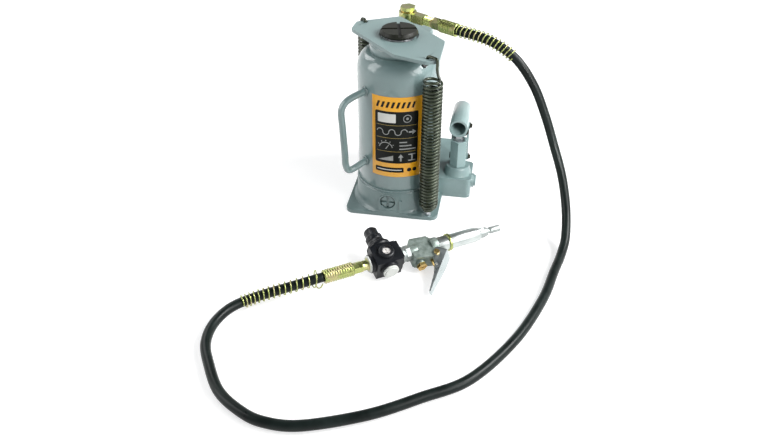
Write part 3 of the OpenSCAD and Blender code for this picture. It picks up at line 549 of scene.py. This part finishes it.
def inlay(name, shapes, mat, lift):
    """Thin pieces bent round the tank, from outlines on the flat label."""
    bm = bmesh.new()
    for shape in shapes:
        bm.faces.new([bm.verts.new((u, v, 0)) for u, v in shape])
    for cut in np.arange(2.5, LABEL_W, 2.5):
        bmesh.ops.bisect_plane(bm, geom=bm.verts[:] + bm.edges[:] + bm.faces[:], plane_co=(cut, 0, 0),
                               plane_no=(1, 0, 0))
    # z is 0 under the inlay and 1 on top, until it is bent round the tank
    raised = bmesh.ops.extrude_face_region(bm, geom=bm.faces[:])["geom"]
    for v in raised:
        if isinstance(v, bmesh.types.BMVert):
            v.co.z = 1
    bmesh.ops.recalc_face_normals(bm, faces=bm.faces[:])
    for v in bm.verts:
        a = math.radians(LABEL_START) + v.co.x / LABEL_W * math.radians(LABEL_SPREAD)
        r = LABEL_R + (lift if v.co.z > 0.5 else -0.1)
        v.co = Vector((r * math.cos(a), r * math.sin(a), LABEL_Z + v.co.y)) * MM
    bmesh.ops.recalc_face_normals(bm, faces=bm.faces[:])
    data = bpy.data.meshes.new(name)
    bm.to_mesh(data)
    bm.free()
    obj = bpy.data.objects.new(name, data)
    link(obj)
    wear(obj, mat)
    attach(obj, "jack")
    return obj


black_shapes = [rounded(5, 21, 63, 97, 2.5), rounded(5.5, 7, 44, 14.5, 1.2)]
black_shapes += [[(u, 102), (u + 3.3, 102), (u + 6.3, 110.5), (u + 3, 110.5)]
                 for u in np.arange(6, 55, 6.7)]
black_shapes += arc_band(51.5, 10.8, 0.1, 3, 0, 360, 14) + arc_band(59, 10.8, 0.1, 3, 0, 360, 14)
pale_shapes = [rounded(9, 81, 33, 93.5, 1.0), rounded(8, 10.1, 41.5, 11.4)]
# first row beside the pale field: a ring
grey_shapes = arc_band(48, 87, 4.6, 5.7, 0, 360, 28) + arc_band(48, 87, 0.1, 1.8, 0, 360, 12)
# second row: a wave and an arrow
for k in range(5):
    grey_shapes += arc_band(12 + 8 * k, 67.5, 3.5, 4.6, 180 * (k % 2), 180 * (k % 2) + 180, 12)
grey_shapes += [[(50, 66.4), (55, 66.4), (55, 63.6), (60.5, 67.5), (55, 71.4), (55, 68.6), (50, 68.6)]]
# third row: a dial and three steps
grey_shapes += arc_band(20, 43, 8.4, 9.5, 10, 170, 18)
for angle in (30, 60, 90, 120, 150):
    grey_shapes += arc_band(20, 43, 10.6, 12.2, angle - 3, angle + 3, 1)
grey_shapes += [[(19.2, 42.6), (20.6, 42.2), (24.6, 48.6), (24, 49)]]
grey_shapes += [rounded(38, 42, 60, 43.6), rounded(38, 47, 54, 48.6), rounded(38, 52, 48, 53.6)]
# last row: a wedge, an arrow up, a column between two plates
grey_shapes += [[(9, 25), (30, 25), (30, 33)],
                [(38.9, 24.5), (41.1, 24.5), (41.1, 30), (43.6, 30), (40, 35.4), (36.4, 30), (38.9, 30)],
                rounded(50, 24.5, 60, 26), rounded(54, 26, 56, 33.5), rounded(50, 33.5, 60, 35)]
line_shapes = [rounded(7, v, 61, v + 0.5) for v in (77, 58.5, 38.5)]
inlay("label_black_fields", black_shapes, INK, 0.05)
inlay("label_pale_marks", pale_shapes, PALE, 0.09)
inlay("label_grey_marks", grey_shapes, GREY, 0.09)
inlay("label_gold_lines", line_shapes, LINE, 0.09)


# ---------- weld beads ----------
def bead(name, points, radius):
    """Closed and painted weld seam with the ripples of its passes."""
    points = [np.asarray(p, float) for p in points]
    radii = [radius * (1 + 0.16 * math.sin(i * 1.9) + 0.08 * math.sin(i * 0.53)) * MM
             for i in range(len(points))]
    obj = wear(sweep(name, [p * MM for p in points], radii, 8, closed=True), WELD)
    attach(obj, "jack")
    return obj


def circle(cx, cy, z, r, steps):
    """Points of a level circle."""
    return [(cx + r * math.cos(2 * math.pi * i / steps), cy + r * math.sin(2 * math.pi * i / steps), z)
            for i in range(steps)]


bead("weld_tank_foot", circle(0, 0, 39.4, 54.3, 220), 1.3)
bead("weld_motor_foot", circle(0, 92, 40.2, 33.2, 150), 0.9)
TANK_R = 54.0


def knot(name, angle, height, r):
    """Weld round a rod that runs into the tank's wall at an angle and height."""
    a = math.radians(angle)
    points = []
    steps = 36
    for k in range(steps):
        b = 2 * math.pi * k / steps
        across = r * math.cos(b)
        out = math.sqrt(TANK_R ** 2 - across ** 2) + 0.5
        points.append((out * math.cos(a) - across * math.sin(a), out * math.sin(a) + across * math.cos(a),
                       height + 1.15 * r * math.sin(b)))
    bead(name, points, 1.7)


knot("weld_handle_top", -133, 178.6, 4.7)
knot("weld_handle_low", -133, 76.4, 4.7)

# ---------- floor, backdrop and light ----------
floor = mesh_object("floor", [(-6, -6, 0), (6, -6, 0), (6, 6, 0), (-6, 6, 0)], [(0, 1, 2, 3)], smooth=False)
floor.location.z = -0.0002
white = bpy.data.materials.new("white_floor")
white.use_nodes = True
tree = white.node_tree
shader = tree.nodes["Principled BSDF"]
shader.inputs["Base Color"].default_value = (0.55, 0.55, 0.55, 1)
shader.inputs["Roughness"].default_value = 0.9
# the floor shows as white by itself, also in metal, and still takes the object's shadow
path = add(tree, "ShaderNodeLightPath")
seen = add(tree, "ShaderNodeMath", [(path.outputs["Is Camera Ray"], 0), (path.outputs["Is Glossy Ray"], 1)],
           operation="ADD")
seen = add(tree, "ShaderNodeMath", [(seen.outputs["Value"], 0), (path.outputs["Is Transmission Ray"], 1)],
           operation="ADD")
# a little darker near the object, white further out
away = add(tree, "ShaderNodeVectorMath", [(add(tree, "ShaderNodeNewGeometry").outputs["Position"], 0)],
           operation="LENGTH")
rise = add(tree, "ShaderNodeMapRange", [(away.outputs["Value"], "Value")],
           **{"From Min": 0.75, "From Max": 1.7, "To Min": 0.62, "To Max": 1.0})
glow = add(tree, "ShaderNodeMath", [(seen.outputs["Value"], 0), (rise.outputs["Result"], 1)],
           operation="MULTIPLY")
shader.inputs["Emission Color"].default_value = (1, 1, 1, 1)
tree.links.new(glow.outputs["Value"], shader.inputs["Emission Strength"])
wear(floor, white)

world = bpy.data.worlds.new("world")
bpy.context.scene.world = world
world.use_nodes = True
tree = world.node_tree
# a light tent: bright round the horizon, darker overhead
height = add(tree, "ShaderNodeSeparateXYZ",
             [(add(tree, "ShaderNodeTexCoord").outputs["Generated"], "Vector")])
sky = ramp(tree, height.outputs["Z"], [(0.0, (0.40, 0.41, 0.42)), (0.5, (0.32, 0.33, 0.34)),
                                       (0.85, (0.075, 0.08, 0.085))])
# metal and glass see the white background too, up to where the tent's dark top begins
mirrored = ramp(tree, height.outputs["Z"], [(0.0, (1, 1, 1)), (0.2, (1, 1, 1)), (0.5, (0.32, 0.33, 0.34)),
                                            (0.85, (0.075, 0.08, 0.085))])
path = add(tree, "ShaderNodeLightPath")
glint = add(tree, "ShaderNodeMath",
            [(path.outputs["Is Glossy Ray"], 0), (path.outputs["Is Transmission Ray"], 1)], operation="ADD")
tent = add(tree, "ShaderNodeMix", [(glint.outputs["Value"], "Factor")], data_type="RGBA")
tree.links.new(sky, tent.inputs["A"])
tree.links.new(mirrored, tent.inputs["B"])
backdrop = add(tree, "ShaderNodeMix", [(path.outputs["Is Camera Ray"], "Factor")], data_type="RGBA")
tree.links.new(tent.outputs["Result"], backdrop.inputs["A"])
backdrop.inputs["B"].default_value = (1, 1, 1, 1)
tree.links.new(backdrop.outputs["Result"], tree.nodes["Background"].inputs["Color"])


def softbox(name, place, aim, size, power, spread=180):
    """Rectangular lamp at place that faces aim, its spread in degrees."""
    data = bpy.data.lights.new(name, "AREA")
    data.shape = "RECTANGLE"
    data.size, data.size_y = size
    data.energy = power
    data.spread = math.radians(spread)
    lamp = bpy.data.objects.new(name, data)
    lamp.location = place
    lamp.rotation_euler = (Vector(aim) - Vector(place)).to_track_quat("-Z", "Y").to_euler()
    link(lamp)


softbox("key_left", (-1.5, -0.5, 1.0), (0, 0, 0.1), (0.8, 1.4), 14.5)
softbox("fill_right", (1.35, -0.75, 0.9), (0.05, 0, 0.1), (0.9, 1.1), 20)
softbox("pump_side", (0.95, -1.0, 0.75), (0.12, 0.02, 0.06), (0.12, 0.12), 0.08, 9)
softbox("back_left", (-1.25, 0.9, 1.3), (0, 0, 0.2), (1.0, 0.9), 10)
softbox("top_right", (1.3, 0.15, 1.25), (0.05, 0, 0.1), (0.8, 0.7), 38)

bpy.context.scene.view_settings.view_transform = "Standard"
